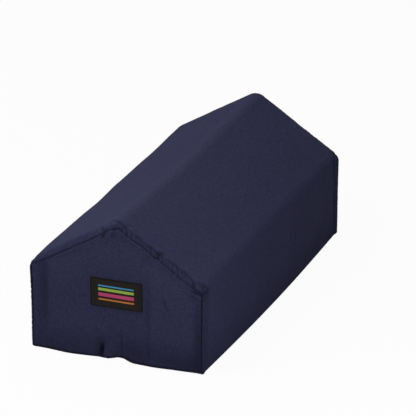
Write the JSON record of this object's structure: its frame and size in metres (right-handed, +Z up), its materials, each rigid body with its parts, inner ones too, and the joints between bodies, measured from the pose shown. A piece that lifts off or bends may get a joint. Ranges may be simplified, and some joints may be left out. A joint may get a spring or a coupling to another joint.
{
  "type": "knee wedge pillow",
  "caption": "Foam knee wedge pillow with a house-shaped section in a sewn navy cloth cover, lying on its flat base, with a woven label on one end.",
  "frame": {"origin": "middle of the base, on the surface that the pillow lies on", "axes": "+X across the pillow, +Y along it and away from the labelled end, +Z up"},
  "size_m": [0.2204, 0.4453, 0.1766],
  "materials": {
    "navy_cloth": "matt plain-woven cloth",
    "label_weave": "close ribbed label weave"
  },
  "bodies": {
    "root": {"filled_cushion": "navy_cloth", "front_end_panel": "navy_cloth", "back_end_panel": "navy_cloth", "woven_label": "label_weave"}
  },
  "joints": []
}
